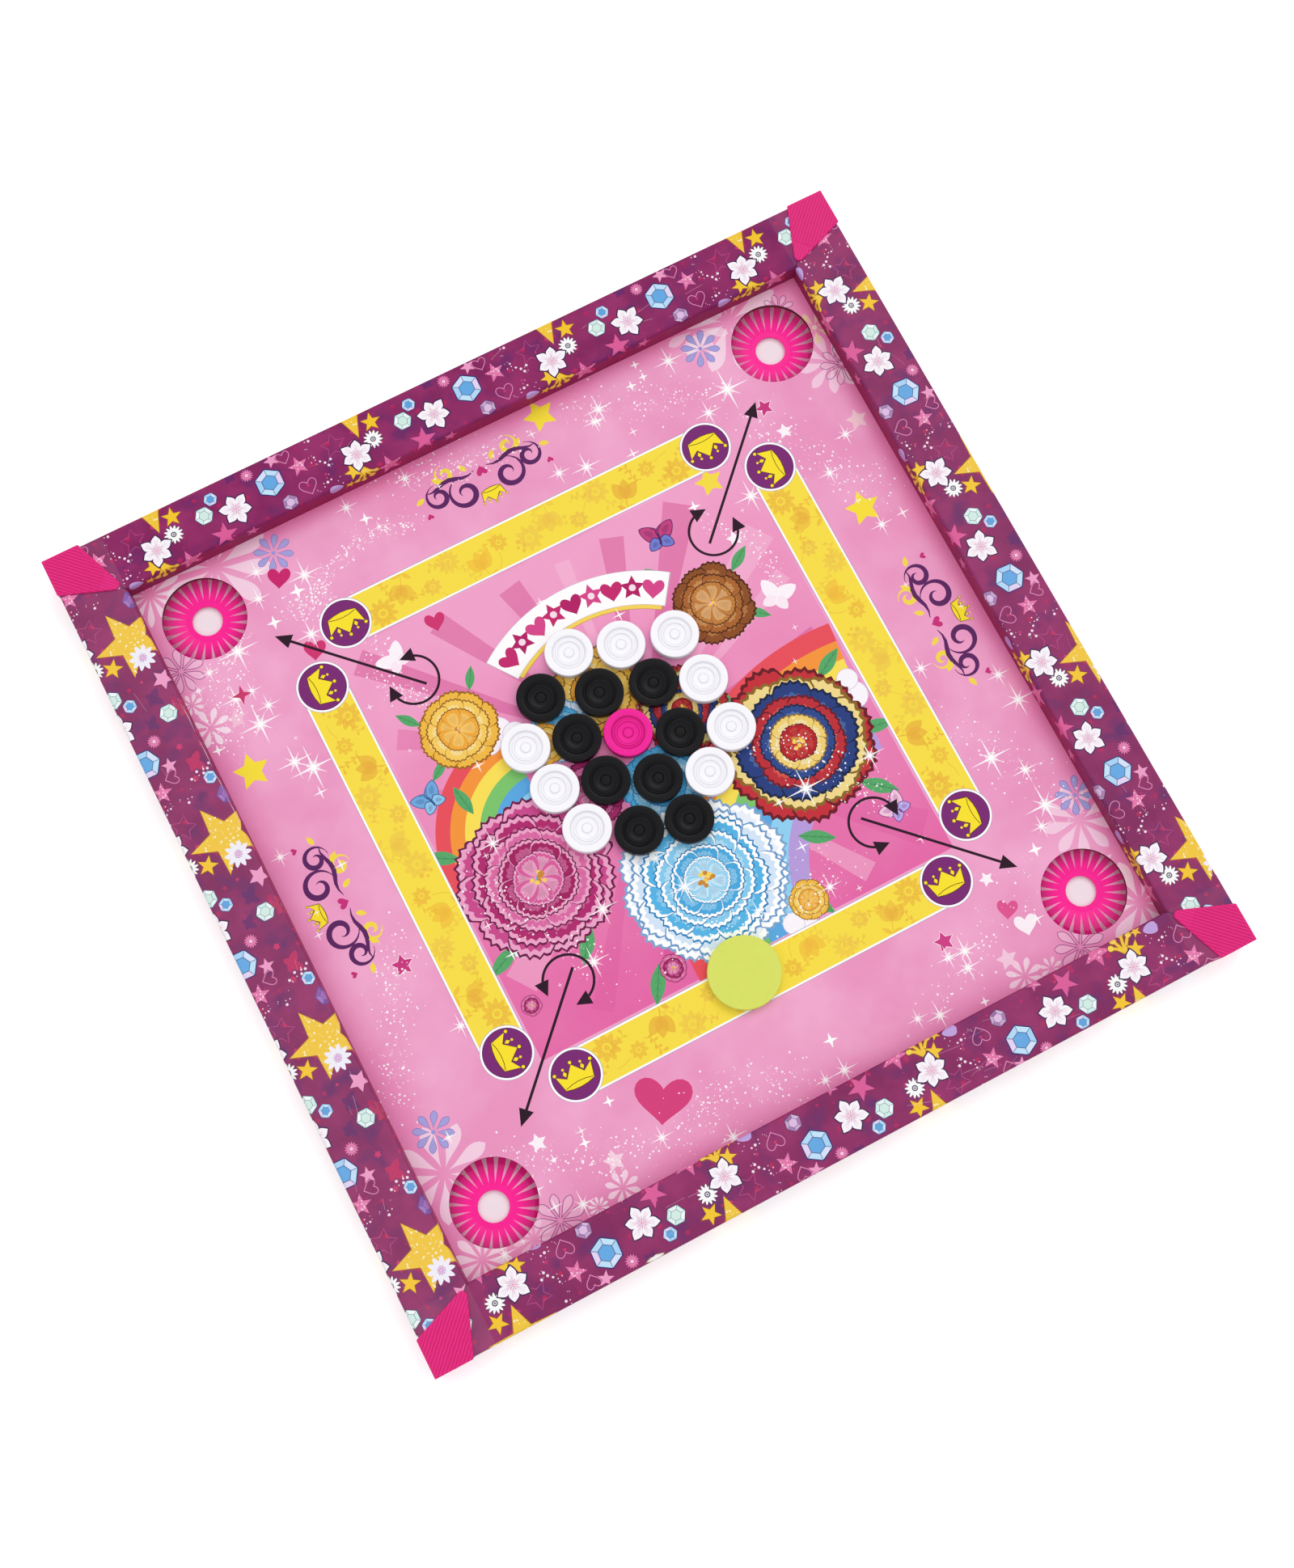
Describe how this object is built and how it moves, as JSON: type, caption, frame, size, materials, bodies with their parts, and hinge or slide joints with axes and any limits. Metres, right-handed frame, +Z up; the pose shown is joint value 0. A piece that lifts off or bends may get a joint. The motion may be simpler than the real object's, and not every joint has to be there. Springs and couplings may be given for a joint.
{
  "type": "carrom board",
  "caption": "Square carrom board with a raised wooden frame, printed playing sheet, slotted corner pockets, corner caps, carrommen and a striker.",
  "frame": {"origin": "centre of the board in plan, at the level it rests on", "axes": "+Z up out of the playing surface, the player who strikes sits on the -Y side, +X to that player's right"},
  "size_m": [0.5106, 0.5106, 0.0269],
  "materials": {
    "hardboard": "smooth brown hardboard, rougher below",
    "printed_sheet": "glossy printed paper",
    "rail_wood": "planed softwood",
    "printed_wrap": "glossy printed paper",
    "cap_plastic": "glossy moulded plastic",
    "cup_plastic": "glossy moulded plastic",
    "nail_steel": "bright wire steel",
    "white_plastic": "satin moulded plastic",
    "black_plastic": "satin moulded plastic",
    "queen_plastic": "satin moulded plastic",
    "striker_plastic": "smooth translucent plastic"
  },
  "bodies": {
    "board": {"board_panel": "hardboard", "playing_sheet": "printed_sheet", "rail_back": "rail_wood", "rail_wrap_back": "printed_wrap", "rail_left": "rail_wood", "rail_wrap_left": "printed_wrap", "rail_front": "rail_wood", "rail_wrap_front": "printed_wrap", "rail_right": "rail_wood", "rail_wrap_right": "printed_wrap", "corner_cap_back_right": "cap_plastic", "pocket_cup_back_right": "cup_plastic", "corner_cap_back_left": "cap_plastic", "pocket_cup_back_left": "cup_plastic", "corner_cap_front_left": "cap_plastic", "pocket_cup_front_left": "cup_plastic", "corner_cap_front_right": "cap_plastic", "pocket_cup_front_right": "cup_plastic", "frame_nails": "nail_steel", "panel_nails": "nail_steel", "pocket_tacks": "nail_steel", "cap_nails": "nail_steel"},
    "white_coin_1": {"white_coin_1": "white_plastic"},
    "white_coin_2": {"white_coin_2": "white_plastic"},
    "white_coin_3": {"white_coin_3": "white_plastic"},
    "white_coin_4": {"white_coin_4": "white_plastic"},
    "white_coin_5": {"white_coin_5": "white_plastic"},
    "white_coin_6": {"white_coin_6": "white_plastic"},
    "white_coin_7": {"white_coin_7": "white_plastic"},
    "white_coin_8": {"white_coin_8": "white_plastic"},
    "white_coin_9": {"white_coin_9": "white_plastic"},
    "black_coin_1": {"black_coin_1": "black_plastic"},
    "black_coin_2": {"black_coin_2": "black_plastic"},
    "black_coin_3": {"black_coin_3": "black_plastic"},
    "black_coin_4": {"black_coin_4": "black_plastic"},
    "black_coin_5": {"black_coin_5": "black_plastic"},
    "black_coin_6": {"black_coin_6": "black_plastic"},
    "black_coin_7": {"black_coin_7": "black_plastic"},
    "black_coin_8": {"black_coin_8": "black_plastic"},
    "black_coin_9": {"black_coin_9": "black_plastic"},
    "queen": {"queen": "queen_plastic"},
    "striker": {"striker": "striker_plastic"}
  },
  "joints": [
    {"name": "lift_white_coin_1", "type": "slide", "parent": "board", "child": "white_coin_1", "axis": [0, 0, 1], "range_m": [0, 0.05]},
    {"name": "lift_white_coin_2", "type": "slide", "parent": "board", "child": "white_coin_2", "axis": [0, 0, 1], "range_m": [0, 0.05]},
    {"name": "lift_white_coin_3", "type": "slide", "parent": "board", "child": "white_coin_3", "axis": [0, 0, 1], "range_m": [0, 0.05]},
    {"name": "lift_white_coin_4", "type": "slide", "parent": "board", "child": "white_coin_4", "axis": [0, 0, 1], "range_m": [0, 0.05]},
    {"name": "lift_white_coin_5", "type": "slide", "parent": "board", "child": "white_coin_5", "axis": [0, 0, 1], "range_m": [0, 0.05]},
    {"name": "lift_white_coin_6", "type": "slide", "parent": "board", "child": "white_coin_6", "axis": [0, 0, 1], "range_m": [0, 0.05]},
    {"name": "lift_white_coin_7", "type": "slide", "parent": "board", "child": "white_coin_7", "axis": [0, 0, 1], "range_m": [0, 0.05]},
    {"name": "lift_white_coin_8", "type": "slide", "parent": "board", "child": "white_coin_8", "axis": [0, 0, 1], "range_m": [0, 0.05]},
    {"name": "lift_white_coin_9", "type": "slide", "parent": "board", "child": "white_coin_9", "axis": [0, 0, 1], "range_m": [0, 0.05]},
    {"name": "lift_black_coin_1", "type": "slide", "parent": "board", "child": "black_coin_1", "axis": [0, 0, 1], "range_m": [0, 0.05]},
    {"name": "lift_black_coin_2", "type": "slide", "parent": "board", "child": "black_coin_2", "axis": [0, 0, 1], "range_m": [0, 0.05]},
    {"name": "lift_black_coin_3", "type": "slide", "parent": "board", "child": "black_coin_3", "axis": [0, 0, 1], "range_m": [0, 0.05]},
    {"name": "lift_black_coin_4", "type": "slide", "parent": "board", "child": "black_coin_4", "axis": [0, 0, 1], "range_m": [0, 0.05]},
    {"name": "lift_black_coin_5", "type": "slide", "parent": "board", "child": "black_coin_5", "axis": [0, 0, 1], "range_m": [0, 0.05]},
    {"name": "lift_black_coin_6", "type": "slide", "parent": "board", "child": "black_coin_6", "axis": [0, 0, 1], "range_m": [0, 0.05]},
    {"name": "lift_black_coin_7", "type": "slide", "parent": "board", "child": "black_coin_7", "axis": [0, 0, 1], "range_m": [0, 0.05]},
    {"name": "lift_black_coin_8", "type": "slide", "parent": "board", "child": "black_coin_8", "axis": [0, 0, 1], "range_m": [0, 0.05]},
    {"name": "lift_black_coin_9", "type": "slide", "parent": "board", "child": "black_coin_9", "axis": [0, 0, 1], "range_m": [0, 0.05]},
    {"name": "lift_queen", "type": "slide", "parent": "board", "child": "queen", "axis": [0, 0, 1], "range_m": [0, 0.05]},
    {"name": "striker_slide", "type": "slide", "parent": "board", "child": "striker", "axis": [1, 0, 0], "range_m": [-0.109, 0.126]}
  ]
}
